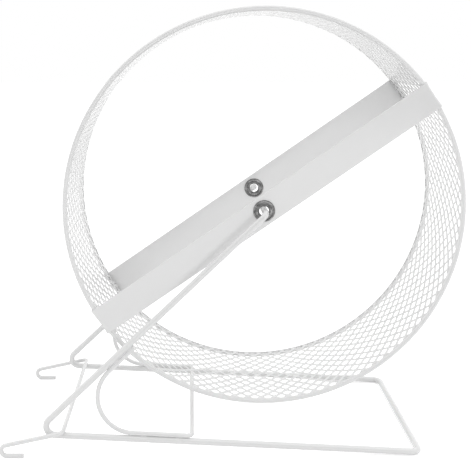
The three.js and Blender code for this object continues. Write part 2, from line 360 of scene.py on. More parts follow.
class SurfaceGroup(NodeGroup):
    """A shader group of noises over the Object coordinates, with the input Size."""

    def __init__(self, name: str, *inputs: str) -> None:
        """Starts the group with these numbers as its inputs and one as its output."""
        super().__init__(name, "ShaderNodeTree", dict.fromkeys(inputs, "Float"), "Float")

    def noise(self, per_size: float, detail: float) -> NodeSocket:
        """Adds a noise.

        Args:
            per_size: Its features to one Size.
            detail: Its detail.

        Returns:
            The noise's value.
        """
        inputs = {
            "Vector": self.node("ShaderNodeTexCoord").outputs["Object"],
            "Scale": self.math("DIVIDE", per_size, self.value("Size")),
            "Detail": detail,
        }
        return self.node("ShaderNodeTexNoise", inputs).outputs["Fac"]

    @classmethod
    def ripple(cls, grains_per_wave: float = 4.0) -> "SurfaceGroup":
        """The height of the fine waves in a coat or a rolled face.

        Args:
            grains_per_wave: Grains to one wave.

        Returns:
            The group, which has the input Grit too.
        """
        group = cls("surface_ripple", "Size", "Grit")
        waves = group.noise(1.0, detail=1.0)
        grains = group.noise(grains_per_wave, detail=2.0)
        group.end(group.mix(group.value("Grit"), waves, grains))
        return group

    @classmethod
    def cloud(cls, low: float = 0.35, high: float = 0.65) -> "SurfaceGroup":
        """A slow, faint cloud that varies a finish from place to place.

        Args:
            low: The noise's value where the cloud begins.
            high: The noise's value where it is full.

        Returns:
            The group.
        """
        group = cls("handling_cloud", "Size")
        limits = {"Value": group.noise(1.0, detail=3.0), "From Min": low, "From Max": high}
        group.end(group.node("ShaderNodeMapRange", limits).outputs["Result"])
        return group


@dataclass(frozen=True)
class MetalFinish:
    """A finish that varies a little over the surface and has a fine relief."""

    name: str
    colour: Triple
    shaded_colour: Triple
    roughness: float
    roughness_spread: float
    metallic: float
    ripple_size: float
    ripple_grit: float
    ripple_depth: float
    cloud_size: float
    coat: float = 0.0
    coat_roughness: float = 0.12

    def build(self, ripple: SurfaceGroup, cloud: SurfaceGroup) -> Material:
        """Builds the material.

        Args:
            ripple: The shared group of fine waves.
            cloud: The shared group that varies it from place to place.

        Returns:
            The material.
        """
        finish = bpy.data.materials.new(self.name)
        graph = Graph.emptied(finish)
        kind = "ShaderNodeGroup"
        part = graph.node(kind, {"Size": self.cloud_size}, node_tree=cloud.tree).outputs[0]
        waves = {"Size": self.ripple_size, "Grit": self.ripple_grit}
        height = graph.node(kind, waves, node_tree=ripple.tree).outputs[0]
        relief = {"Strength": 1.0, "Distance": self.ripple_depth, "Height": height}
        rough_end = self.roughness + self.roughness_spread
        # A colour mix has its colours in inputs 6 and 7 and its result in output 2.
        colours = {0: part, 6: opaque(self.colour), 7: opaque(self.shaded_colour)}
        graph.surface(
            {
                "Base Color": graph.node("ShaderNodeMix", colours, data_type="RGBA").outputs[2],
                "Metallic": self.metallic,
                "Roughness": graph.mix(part, self.roughness, rough_end),
                "Coat Weight": self.coat,
                "Coat Roughness": self.coat_roughness,
                "Normal": graph.node("ShaderNodeBump", relief).outputs["Normal"],
            }
        )
        return finish


POWDER_COAT = MetalFinish(
    name="white_powder_coat",
    colour=(0.85, 0.85, 0.85),
    shaded_colour=(0.842, 0.842, 0.842),
    roughness=0.24,
    roughness_spread=0.02,
    metallic=0.0,
    ripple_size=0.0016,
    ripple_grit=0.15,
    ripple_depth=0.00002,
    cloud_size=0.02,
    coat=1.0,
)

EYELET_STEEL = MetalFinish(
    name="dark_eyelet_steel",
    colour=(0.34, 0.34, 0.34),
    shaded_colour=(0.16, 0.16, 0.16),
    roughness=0.22,
    roughness_spread=0.16,
    metallic=1.0,
    ripple_size=0.0008,
    ripple_grit=0.4,
    ripple_depth=0.00001,
    cloud_size=0.003,
)


@dataclass(frozen=True)
class Corner:
    """A corner of a bent wire: where its straight runs would meet, and the radius of its bend."""

    at: Vector
    bend: float = 0.0

    def mirrored(self) -> "Corner":
        """The same corner on the back half."""
        return Corner(Vector((self.at.x, -self.at.y, self.at.z)), self.bend)


@dataclass
class BentWire:
    """A wire as a bender leaves it: straight runs joined by round bends, with eased cut ends."""

    corners: list[Corner]
    bend_step: float = math.radians(6)
    cut_ease: float = 0.0005
    cut_share: float = 0.72
    nearly_eased: float = 0.35
    nearly_share: float = 0.92

    @classmethod
    def both_halves(cls, half: list[Corner]) -> "BentWire":
        """The wire that runs through one half's corners and back through the mirrored ones."""
        return cls(half + [corner.mirrored() for corner in reversed(half)])

    def bend_points(self, index: int) -> list[Vector]:
        """Points along one bend.

        Args:
            index: The corner's place in the list, not the first or the last.

        Returns:
            The points, from the end of one straight run to the start of the next.
        """
        corner = self.corners[index]
        incoming = (corner.at - self.corners[index - 1].at).normalized()
        outgoing = (self.corners[index + 1].at - corner.at).normalized()
        turn = incoming.angle(outgoing)
        axis = incoming.cross(outgoing).normalized()
        inward = axis.cross(incoming)
        start = corner.at - incoming * corner.bend * math.tan(turn / 2)
        centre = start + inward * corner.bend
        steps = math.ceil(turn / self.bend_step)
        spokes = [Matrix.Rotation(turn * step / steps, 4, axis) for step in range(steps + 1)]
        return [centre + spoke @ (start - centre) for spoke in spokes]

    def cut_end(self, tip: Vector, following: Vector) -> list[tuple[Vector, float]]:
        """The points of a cut end, where the wire narrows a little to its cut face.

        Args:
            tip: The wire's end.
            following: The next point along the wire.

        Returns:
            Each point with the share of the wire's thickness that it has.
        """
        ease = (following - tip).normalized() * self.cut_ease
        nearly = tip + ease * self.nearly_eased
        return [(tip, self.cut_share), (nearly, self.nearly_share), (tip + ease, 1.0)]

    def stations(self) -> list[tuple[Vector, float]]:
        """Follows the wire's middle line.

        Returns:
            Each of its points, with the share of the wire's thickness there.
        """
        bends = [self.bend_points(index) for index in range(1, len(self.corners) - 1)]
        middle = [(point, 1.0) for bend in bends for point in bend]
        first = self.cut_end(self.corners[0].at, middle[0][0])
        last = self.cut_end(self.corners[-1].at, middle[-1][0])
        return first + middle + last[::-1]

    def route(self, place: Matrix) -> Mesh:
        """The middle line as a chain of edges, with the wire's own space at this place."""
        points, shares = zip(*self.stations())
        return route_mesh([place @ point for point in points], shares)


def route_mesh(points: Sequence[Vector], shares: Sequence[float], closed: bool = False) -> Mesh:
    """A chain of edges that a wire follows.

    Args:
        points: The points of its middle line.
        shares: The share of the wire's thickness at each point.
        closed: Whether the last point joins the first.

    Returns:
        A mesh with the point attribute "thickness".
    """
    count = len(points)
    edges = [(index, index + 1) for index in range(count - 1)]
    if closed:
        edges.append((count - 1, 0))
    mesh = bpy.data.meshes.new("route")
    mesh.from_pydata(points, edges, [])
    mesh.attributes.new("thickness", "FLOAT", "POINT").data.foreach_set("value", shares)
    return mesh


class WireTree(FormTree):
    """Draws a round wire along a chain of edges."""

    def __init__(self) -> None:
        """Builds the tree, with the inputs Diameter and Sides."""
        super().__init__("round_wire", {"Diameter": "Float", "Sides": "Int"})
        line = self.node("GeometryNodeMeshToCurve", {"Mesh": self.value("Geometry")})
        radius = self.math("MULTIPLY", self.value("Diameter"), 0.5)
        circle = {"Resolution": self.value("Sides"), "Radius": radius}
        section = self.node("GeometryNodeCurvePrimitiveCircle", circle)
        share = self.node("GeometryNodeInputNamedAttribute", {"Name": "thickness"})
        sweep = {
            "Curve": line.outputs["Curve"],
            "Profile Curve": section.outputs["Curve"],
            "Scale": share.outputs["Attribute"],
            "Fill Caps": True,
        }
        self.finish(self.node("GeometryNodeCurveToMesh", sweep).outputs["Mesh"])


@dataclass(frozen=True)
class WheelSizes:
    """Sizes of the wheel that its pieces share."""

    radius: float = 0.140
    rim_wire: float = 0.003
    rim_spacing: float = 0.094
    strap_width: float = 0.020
    strap_sheet: float = 0.0008
    strap_angle: float = math.radians(34.9)
    seat_gap: float = 0.0003
    bore: float = 0.0034

    @property
    def rim_radius(self) -> float:
        """Radius of a hoop's middle line."""
        return self.radius - self.rim_wire / 2

    @property
    def strap_middle(self) -> float:
        """From a hoop's centre plane out to the middle of its strap."""
        return self.rim_wire / 2 + self.seat_gap + self.strap_sheet / 2


@dataclass
class Maker:
    """What every family of pieces is made with: the sizes, the axle's middle and the finish."""

    sizes: WheelSizes
    axle: Vector
    finish: Material

    def turned_ring(
        self, name: str, outline: Callable[[float], Sequence[Pair]], steps: int, crease: float
    ) -> Object:
        """A closed outline turned round the axle.

        Args:
            name: The object's name.
            outline: Gives its points at an angle, each (distance along the axle, radius).
            steps: Number of steps round.
            crease: Edges sharper than this stay hard.

        Returns:
            The object.
        """
        rings = []
        for step in range(steps):
            angle = 2 * math.pi * step / steps
            ring = [Vector((0, y, 0)) + spoke(angle) * radius for y, radius in outline(angle)]
            rings.append([self.axle + point for point in ring])
        build = bridged(rings, closed=True)
        soften(build, crease)
        return object_from_bmesh(name, build, self.finish)


@dataclass
class Hoops(Maker):
    """The two round wire hoops, each with the small swelling of its butt weld."""

    steps: int = 240
    sides: int = 20
    weld_at: float = math.radians(-112)
    weld_span: float = math.radians(1.1)
    weld_swell: float = 0.05
    weld_steps: int = 6
    steps_to_span: int = 3
    weld_clear: float = 2.4

    def share(self, angle: float) -> float:
        """Share of the wire's thickness at an angle round the hoop."""
        offset = (angle - self.weld_at + math.pi) % (2 * math.pi) - math.pi
        return 1.0 + self.weld_swell * math.exp(-((offset / self.weld_span) ** 2))

    def from_weld(self, spans: float) -> float:
        """The angle round the hoop at this many spans from the weld."""
        return (self.weld_at + self.weld_span * spans) % (2 * math.pi)

    def angles(self) -> list[float]:
        """Angles round the hoop, closer together at the weld.

        Returns:
            The angles, in order.
        """
        low, high = self.from_weld(-self.weld_clear), self.from_weld(self.weld_clear)
        even = {2 * math.pi * step / self.steps for step in range(self.steps)}
        steps = range(-self.weld_steps, self.weld_steps + 1)
        near = {self.from_weld(step / self.steps_to_span) for step in steps}
        return sorted({angle for angle in even if not low < angle < high} | near)

    def build(self, tree: WireTree) -> None:
        """Builds both hoops.

        Args:
            tree: The tree that draws wires.
        """
        angles = self.angles()
        shares = [self.share(angle) for angle in angles]
        radius = self.sizes.rim_radius
        round_hoop = [Vector((radius * math.cos(a), 0, radius * math.sin(a))) for a in angles]
        for side in Side:
            centre = self.axle + Vector((0, side.value * self.sizes.rim_spacing / 2, 0))
            hoop = tree.make(
                f"{side.word}_hoop",
                route_mesh([centre + point for point in round_hoop], shares, closed=True),
                Diameter=self.sizes.rim_wire,
                Sides=self.sides,
                Material=self.finish,
            )
            dress(hoop, Body.WHEEL, Slot.COAT, [f"{side.word}_rim"])


@dataclass(frozen=True)
class KnotCell:
    """One knot of the mesh floor: four leaning half strands that meet in rounded inner corners.

    overrun is how far a strand runs on into the floor's edge. lean is how steeply a strand's face
    rises to its side, where that side lies along the row and where it lies across the rows.
    """

    row_pitch: float = 0.0052
    strand: float = 0.0017
    sheet: float = 0.00042
    fillet: float = 0.0009
    flat_share: float = 0.6
    overrun: float = 0.0003
    lean: Pair = (-0.15, -0.36)

    def arms(self, pitch: float, stretched: int) -> list[Vector]:
        """The four half strands' ends, anticlockwise.

        Args:
            pitch: From one knot to the next in a row.
            stretched: 1 or -1 where the strands on that side run on into the floor's edge, else 0.

        Returns:
            The end of each half strand, from the knot's middle.
        """
        arms = []
        for x, y in ((1, 1), (-1, 1), (-1, -1), (1, -1)):
            end = Vector((x * pitch / 4, y * self.row_pitch / 2, 0))
            arms.append(end * (1 + self.overrun / end.length) if stretched * y > 0 else end)
        return arms

    def outline(self, half_width: float, height: float, arms: list[Vector]) -> list[Vector]:
        """The knot's outline at one height.

        Args:
            half_width: Half of the strands' width there.
            height: The height.
            arms: The half strands' ends.

        Returns:
            Twenty points, anticlockwise; each half strand's end lies between two groups of five.
        """
        radius = self.fillet + self.strand / 2 - half_width
        lift = Vector((0, 0, height))
        lean = Vector((*self.lean, 0))
        points = []
        for index, arm in enumerate(arms):
            following = arms[(index + 1) % len(arms)]
            along, next_along = arm.normalized(), following.normalized()
            left = UP.cross(along)
            next_right = -UP.cross(next_along)
            half_turn = along.angle(next_along) / 2
            reach = (half_width + radius) / math.sin(half_turn)
            centre = (along + next_along).normalized() * reach
            run = (half_width + radius) / math.tan(half_turn)
            start = along * run + left * half_width
            end = next_along * run + next_right * half_width
            middle = centre - centre.normalized() * radius
            rise = lift + UP * half_width * left.dot(lean)
            next_rise = lift + UP * half_width * next_right.dot(lean)
            points += [
                arm + left * half_width + rise,
                start + rise,
                middle + (rise + next_rise) / 2,
                end + next_rise,
                following + next_right * half_width + next_rise,
            ]
        return points

    def mesh(self, name: str, pitch: float, stretched: int) -> Object:
        """Builds the knot as an object that the floor's tree repeats.

        Args:
            name: The object's name.
            pitch: As in arms().
            stretched: As in arms().

        Returns:
            The object.
        """
        arms = self.arms(pitch, stretched)
        flat, half = self.strand / 2 * self.flat_share, self.sheet / 2
        layers = [
            self.outline(flat, -half, arms),
            self.outline(self.strand / 2, 0.0, arms),
            self.outline(flat, half, arms),
        ]
        build = bmesh.new()
        low, level, high = [[build.verts.new(point) for point in layer] for layer in layers]
        below = build.verts.new((0, 0, -half))
        above = build.verts.new((0, 0, half))
        per_arm = len(low) // len(arms)
        for index in range(len(low)):
            after = (index + 1) % len(low)
            build.faces.new((above, high[index], high[after]))
            build.faces.new((below, low[after], low[index]))
            if after % per_arm:
                for under, over in ((low, level), (level, high)):
                    build.faces.new((under[index], under[after], over[after], over[index]))
            elif stretched * arms[after // per_arm].y > 0:
                far = (low[after], level[after], high[after])
                build.faces.new((low[index], *far, high[index], level[index]))
        return object_from_bmesh(name, build)


class FloorTree(FormTree):
    """Repeats the knots over a flat grid and rolls the sheet into a band round the axle."""

    def __init__(self) -> None:
        """Builds the tree; its inputs are the grid's counts and pitches and the band's place."""
        inputs = {
            "Columns": "Int",
            "Rows": "Int",
            "Row Pitch": "Float",
            "Band Radius": "Float",
            "Axle": "Vector",
            "Inner Knot": "Object",
            "Front Knot": "Object",
            "Back Knot": "Object",
            "Merge Distance": "Float",
        }
        super().__init__("mesh_floor", inputs)
        maths, value = self.math, self.value
        index = self.node("GeometryNodeInputIndex").outputs["Index"]
        row = maths("FLOOR", maths("DIVIDE", maths("ADD", index, 0.5), value("Columns")))
        column = maths("SUBTRACT", index, maths("MULTIPLY", row, value("Columns")))
        girth = maths("MULTIPLY", value("Band Radius"), 2 * math.pi)
        shift = maths("MULTIPLY", maths("MODULO", row, 2.0), 0.5)
        pitch = maths("DIVIDE", girth, value("Columns"))
        along = maths("MULTIPLY", maths("ADD", column, shift), pitch)
        last_row = maths("SUBTRACT", value("Rows"), 1.0)
        from_middle = maths("SUBTRACT", row, maths("MULTIPLY", last_row, 0.5))
        across = maths("MULTIPLY", from_middle, value("Row Pitch"))
        spot = self.node("ShaderNodeCombineXYZ", {"X": along, "Y": across}).outputs["Vector"]
        count = maths("MULTIPLY", value("Columns"), value("Rows"))
        points = self.node("GeometryNodePoints", {"Count": count, "Position": spot}).outputs[0]
        is_front = maths("LESS_THAN", row, 0.5)
        is_back = maths("GREATER_THAN", row, maths("SUBTRACT", last_row, 0.5))
        is_inner = maths("SUBTRACT", maths("SUBTRACT", 1.0, is_front), is_back)
        choices = {"Inner Knot": is_inner, "Front Knot": is_front, "Back Knot": is_back}
        joined = self.node("GeometryNodeJoinGeometry")
        for label, chosen in choices.items():
            knot = self.node("GeometryNodeObjectInfo", {"Object": value(label)})
            inputs = {"Points": points, "Selection": chosen, "Instance": knot.outputs["Geometry"]}
            repeat = self.node("GeometryNodeInstanceOnPoints", inputs)
            self.tree.links.new(repeat.outputs["Instances"], joined.inputs["Geometry"])
        flat = self.then(joined.outputs["Geometry"], "GeometryNodeRealizeInstances", {})
        rolled = self.then(flat, "GeometryNodeSetPosition", {"Position": self.rolled_place()})
        distance = {"Distance": value("Merge Distance")}
        self.finish(self.then(rolled, "GeometryNodeMergeByDistance", distance))

    def rolled_place(self) -> NodeSocket:
        """Rolls the flat sheet round the axle.

        Returns:
            The socket of a point's new place.
        """
        maths = self.math
        place = self.node("GeometryNodeInputPosition").outputs["Position"]
        flat = self.node("ShaderNodeSeparateXYZ", {"Vector": place}).outputs
        angle = maths("DIVIDE", flat["X"], self.value("Band Radius"))
        radius = maths("ADD", self.value("Band Radius"), flat["Z"])
        parts = {
            "X": maths("MULTIPLY", radius, maths("SINE", angle)),
            "Y": flat["Y"],
            "Z": maths("MULTIPLY", radius, maths("COSINE", angle)),
        }
        rolled = self.node("ShaderNodeCombineXYZ", parts).outputs["Vector"]
        both = {0: rolled, 1: self.value("Axle")}
        return self.node("ShaderNodeVectorMath", both, operation="ADD").outputs["Vector"]


@dataclass
class MeshFloor(Maker):
    """The running floor: fine diamond mesh in a band, with a plain strip inside each hoop."""

    knot: KnotCell = KnotCell()
    columns: int = 90
    rows: int = 18
    merge_distance: float = 0.00003
    crease: float = math.radians(120)
    strip_width: float = 0.0011
    seam_rise: float = 0.0008
    strip_steps: int = 240
    strip_ease: float = 0.3
    strip_crease: float = math.radians(30)
    clear: float = 0.00005

    @property
    def band_radius(self) -> float:
        """Radius of the middle of the sheet."""
        return self.sizes.radius - self.sizes.rim_wire - self.clear - self.knot.sheet / 2

    @property
    def strip_edge(self) -> float:
        """From the middle of the floor to the inner edge of a plain strip."""
        return self.rows * self.knot.row_pitch / 2

    def build(self) -> None:
        """Builds the mesh and its two strips."""
        pitch = 2 * math.pi * self.band_radius / self.columns
        kinds = {"Inner_Knot": 0, "Front_Knot": -1, "Back_Knot": 1}
        knots = {
            label: self.knot.mesh(label.lower(), pitch, stretched)
            for label, stretched in kinds.items()
        }
        floor = FloorTree().make(
            "mesh_floor",
            bpy.data.meshes.new("floor_seed"),
            Columns=self.columns,
            Rows=self.rows,
            Row_Pitch=self.knot.row_pitch,
            Band_Radius=self.band_radius,
            Axle=tuple(self.axle),
            Merge_Distance=self.merge_distance,
            Crease_Angle=self.crease,
            Material=self.finish,
            **knots,
        )
        for knot in knots.values():
            bpy.data.objects.remove(knot)
        dress(floor, Body.WHEEL, Slot.COAT, ["mesh_tread"])
        for side in Side:
            dress(self.strip(side), Body.WHEEL, Slot.COAT)

    def strip(self, side: Side) -> Object:
        """One plain strip, a flat ring with eased edges and the coat's fill against the hoop.

        Args:
            side: Which edge of the floor.

        Returns:
            The strip.
        """
        ease = self.knot.sheet * self.strip_ease
        half = self.knot.sheet / 2
        low, high = self.strip_edge, self.strip_edge + self.strip_width
        seam = half + self.seam_rise
        section = [
            (low, -half + ease),
            (low + ease, -half),
            (high - ease, -half),
            (high, -half + ease),
            (high, seam - ease),
            (high - ease, seam),
            (high - self.strip_width / 2, half),
            (low + ease, half),
            (low, half - ease),
        ]
        outline = [(side.value * across, self.band_radius + out) for across, out in section]
        name = f"{side.word}_floor_strip"
        return self.turned_ring(name, lambda _: outline, self.strip_steps, self.strip_crease)


@dataclass(frozen=True)
class StripStation:
    """One station of a strap's middle line, in the plane across a hoop's wire.

    turn is the angle of the strap's outer face from straight out. share is the part of the
    strap's width that is left there, and sheet the part of its thickness.
    """

    along: float
    out: float
    turn: float
    share: float = 1.0
    sheet: float = 1.0

    def mirrored(self) -> "StripStation":
        """The same station at the strap's other end."""
        return StripStation(-self.along, self.out, -self.turn, self.share, self.sheet)


@dataclass
class Straps(Maker):
    """The flat crossbars: folded round the hoops, pressed on the mesh and pierced in the middle.

    guard is how near to each rounded edge, as a share of the width, an extra point keeps the
    shading of the flat faces flat.
    """

    edge_radius: float = 0.00034
    edge_steps: int = 3
    width_steps: int = 10
    guard: float = 0.006
    fold_sheet: float = 0.55
    fold_clear: float = 0.00004
    fold_turn: float = math.radians(140)
    fold_steps: int = 14
    fold_lead: float = 0.011
    lead_steps: int = 6
    press_radius: float = 0.0012
    press_steps: int = 5
    press_clear: float = 0.00005
    tongue: float = 0.0075
    tongue_rounding: tuple[float, ...] = (0.0025, 0.0012, 0.0004, 0.0)
    tongue_shares: tuple[float, ...] = (1.0, 0.97, 0.9, 0.82)
    middle_stops: Pair = (0.05, 0.012)
    hole: float = 0.0045
    hole_steps: int = 64
    drill_sheets: float = 6.0

    def section(self) -> list[Pair]:
        """The strap's section, with rounded edges.

        Returns:
            Its points (across, out), anticlockwise.
        """
        half_width = self.sizes.strap_width / 2 - self.edge_radius
        half_sheet = self.sizes.strap_sheet / 2 - self.edge_radius
        points = []
        for quarter, (x, y) in enumerate(((1, 1), (-1, 1), (-1, -1), (1, -1))):
            for step in range(self.edge_steps + 1):
                angle = math.pi / 2 * (quarter + step / self.edge_steps)
                across = x * half_width + self.edge_radius * math.cos(angle)
                points.append((across, y * half_sheet + self.edge_radius * math.sin(angle)))
            if quarter in (0, 2):
                level = points[-1][1]
                parts = [step / self.width_steps for step in range(1, self.width_steps)]
                for part in (self.guard, *parts, 1 - self.guard):
                    points.append((x * half_width * (1 - 2 * part), level))
        return points

    @property
    def fold_radius(self) -> float:
        """Radius of the middle of the sheet where it is rolled tight round the hoop."""
        half_sheet = self.sizes.strap_sheet * self.fold_sheet / 2
        return self.sizes.rim_wire / 2 + self.fold_clear + half_sheet

    def lead_stations(self) -> list[StripStation]:
        """The strap before its fold, where it thins and sinks onto the hoop.

        Returns:
            The stations, outward.
        """
        lead = []
        for step in range(self.lead_steps):
            part = step / self.lead_steps
            sunk = part * part * (3 - 2 * part)
            out = self.sizes.strap_middle + (self.fold_radius - self.sizes.strap_middle) * sunk
            along = self.sizes.rim_radius - self.fold_lead * (1 - part)
            lead.append(StripStation(along, out, 0.0, 1.0, 1 + (self.fold_sheet - 1) * sunk))
        return lead

    def end_stations(self) -> list[StripStation]:
        """The strap's end: rolled round the hoop, pressed on the mesh and rounded at its tip.

        Returns:
            The stations, from the tip to the start of the fold.
        """
        radius, squeeze = self.fold_radius, self.press_radius
        thin = partial(StripStation, sheet=self.fold_sheet)
        fold = []
        for step in range(self.fold_steps + 1):
            turn = self.fold_turn * step / self.fold_steps
            along = self.sizes.rim_radius + radius * math.sin(turn)
            fold.append(thin(along, radius * math.cos(turn), turn))
        last = fold[-1]
        inward, down = math.cos(last.turn), -math.sin(last.turn)
        mesh_outside = self.sizes.radius - self.sizes.rim_wire
        pressed = mesh_outside + self.press_clear + self.sizes.strap_sheet * self.fold_sheet / 2
        corner_out = last.out + down * (pressed - last.along) / inward
        back_turn = self.fold_turn - math.pi / 2
        ease = squeeze * math.tan(back_turn / 2)
        press = [thin(pressed - inward * ease, corner_out - down * ease, self.fold_turn)]
        for step in range(1, self.press_steps + 1):
            turn = self.fold_turn - back_turn * step / self.press_steps
            along = pressed + squeeze * (1 - math.sin(turn))
            press.append(thin(along, corner_out - ease - squeeze * math.cos(turn), turn))
        tip = press[-1].out - self.tongue
        rounding = zip(self.tongue_rounding, self.tongue_shares)
        tongue = [thin(pressed, tip + left, math.pi / 2, share) for left, share in rounding]
        return (fold + press + tongue)[::-1]

    def stations(self) -> list[StripStation]:
        """The whole strap's middle line.

        Returns:
            The stations, from one tip to the other.
        """
        half = self.end_stations() + self.lead_stations()[::-1]
        half += [StripStation(along, self.sizes.strap_middle, 0.0) for along in self.middle_stops]
        return half + [station.mirrored() for station in reversed(half)]

    def hoop_sag(self, along: float, across: float) -> float:
        """How much further in the hoop lies beside the strap's middle line, at the strap's ends.

        Args:
            along: Distance from the strap's middle.
            across: Distance from its middle line.

        Returns:
            The shift along the strap.
        """
        radius = self.sizes.rim_radius
        flat_end = radius - self.fold_lead
        part = min(max((abs(along) - flat_end) / self.fold_lead, 0.0), 1.0)
        return math.copysign(math.sqrt(radius**2 - across**2) - radius, along) * part

    def build(self) -> None:
        """Builds both straps."""
        for side in Side:
            dress(self.strap(side), Body.WHEEL, Slot.COAT, [f"{side.word}_crossbar"])

    def strap(self, side: Side) -> Object:
        """One strap with its hole.

        Args:
            side: Which hoop it crosses.

        Returns:
            The strap.
        """
        along = spoke(self.sizes.strap_angle)
        across = spoke(self.sizes.strap_angle + math.pi / 2)
        out = Vector((0, side.value, 0))
        centre = self.axle + out * self.sizes.rim_spacing / 2
        section = self.section()
        rings = []
        for station in self.stations():
            face = out * math.cos(station.turn) + along * math.sin(station.turn)
            spot = centre + along * station.along + out * station.out
            ring = []
            for x, y in section:
                width = x * station.share
                shift = along * self.hoop_sag(station.along, width)
                ring.append(spot + shift + across * width + face * y * station.sheet)
            rings.append(ring)
        strap = object_from_bmesh(f"{side.word}_strap", bridged(rings, closed=False), self.finish)
        self.pierce(strap, centre + out * self.sizes.strap_middle)
        return strap

    def pierce(self, strap: Object, centre: Vector) -> None:
        """Cuts the eyelet's hole and shades the strap.

        Args:
            strap: The strap.
            centre: The hole's middle.
        """
        drill = bmesh.new()
        bmesh.ops.create_cone(
            drill,
            cap_ends=True,
            segments=self.hole_steps,
            radius1=self.hole,
            radius2=self.hole,
            depth=self.sizes.strap_sheet * self.drill_sheets,
            matrix=Matrix.Translation(centre) @ Matrix.Rotation(math.pi / 2, 4, "X"),
        )
        cutter = object_from_bmesh("drill", drill, self.finish)
        cut = strap.modifiers.new("hole", "BOOLEAN")
        cut.operation = "DIFFERENCE"
        cut.solver = "EXACT"
        cut.object = cutter
        strap.data = applied_mesh(strap)
        strap.modifiers.remove(cut)
        bpy.data.objects.remove(cutter)
        build = bmesh.new()
        build.from_mesh(strap.data)
        soften(build, CREASE)
        build.to_mesh(strap.data)
        build.free()


# The outer half of an eyelet: how far out and at what radius, from the flange's rim to the lip.
LIP_AND_FLANGE = (
    (0.00041, 0.00742), (0.00052, 0.00756), (0.00072, 0.00760), (0.00092, 0.00755),
    (0.00106, 0.00738), (0.00112, 0.00712), (0.00111, 0.00680), (0.00103, 0.00640),
    (0.00093, 0.00606), (0.00086, 0.00584), (0.00092, 0.00566), (0.00112, 0.00558),
    (0.00138, 0.00548), (0.00158, 0.00526), (0.00172, 0.00492), (0.00178, 0.00454),
    (0.00173, 0.00416), (0.00158, 0.00382), (0.00134, 0.00357), (0.00104, 0.00344),
)


@dataclass
class Eyelets(Maker):
    """The dark steel eyelets: a washer-like flange and a curled lip on each face of the strap."""

    steps: int = 120
    lobes: int = 6
    lobe_depth: float = 0.00013
    lip_radius: float = 0.0053
    lip_out: float = 0.0009
    groove: float = 0.0044
    bore_out: float = 0.0007
    crease: float = math.radians(50)

    def outline(self) -> list[Pair]:
        """The eyelet's closed outline, both faces.

        Returns:
            Points (distance from the middle of the strap, radius).
        """
        half = [*LIP_AND_FLANGE, (self.bore_out, self.sizes.bore)]
        face = half[0][0]
        other_half = [(-out, radius) for out, radius in reversed(half)]
        return [(face, self.groove), *half, *other_half, (-face, self.groove)]

    def placed_outline(self, side: Side, angle: float) -> list[Pair]:
        """The outline on one strap, where the curled lip is slightly lobed.

        Args:
            side: The strap's side.
            angle: Angle round the axle.

        Returns:
            Points (distance along the axle, radius).
        """
        strap = self.sizes.rim_spacing / 2 + self.sizes.strap_middle
        lobe = self.lobe_depth * (1 + math.cos(self.lobes * angle)) / 2
        placed = []
        for out, radius in self.outline():
            curled = radius <= self.lip_radius and abs(out) >= self.lip_out
            placed.append((side.value * (strap + out), radius + lobe if curled else radius))
        return placed

    def build(self) -> None:
        """Builds both eyelets."""
        for side in Side:
            name = f"{side.word}_rolled_eyelet"
            outline = partial(self.placed_outline, side)
            ring = self.turned_ring(name, outline, self.steps, self.crease)
            dress(ring, Body.WHEEL, Slot.STEEL, [f"{side.word}_eyelet"])


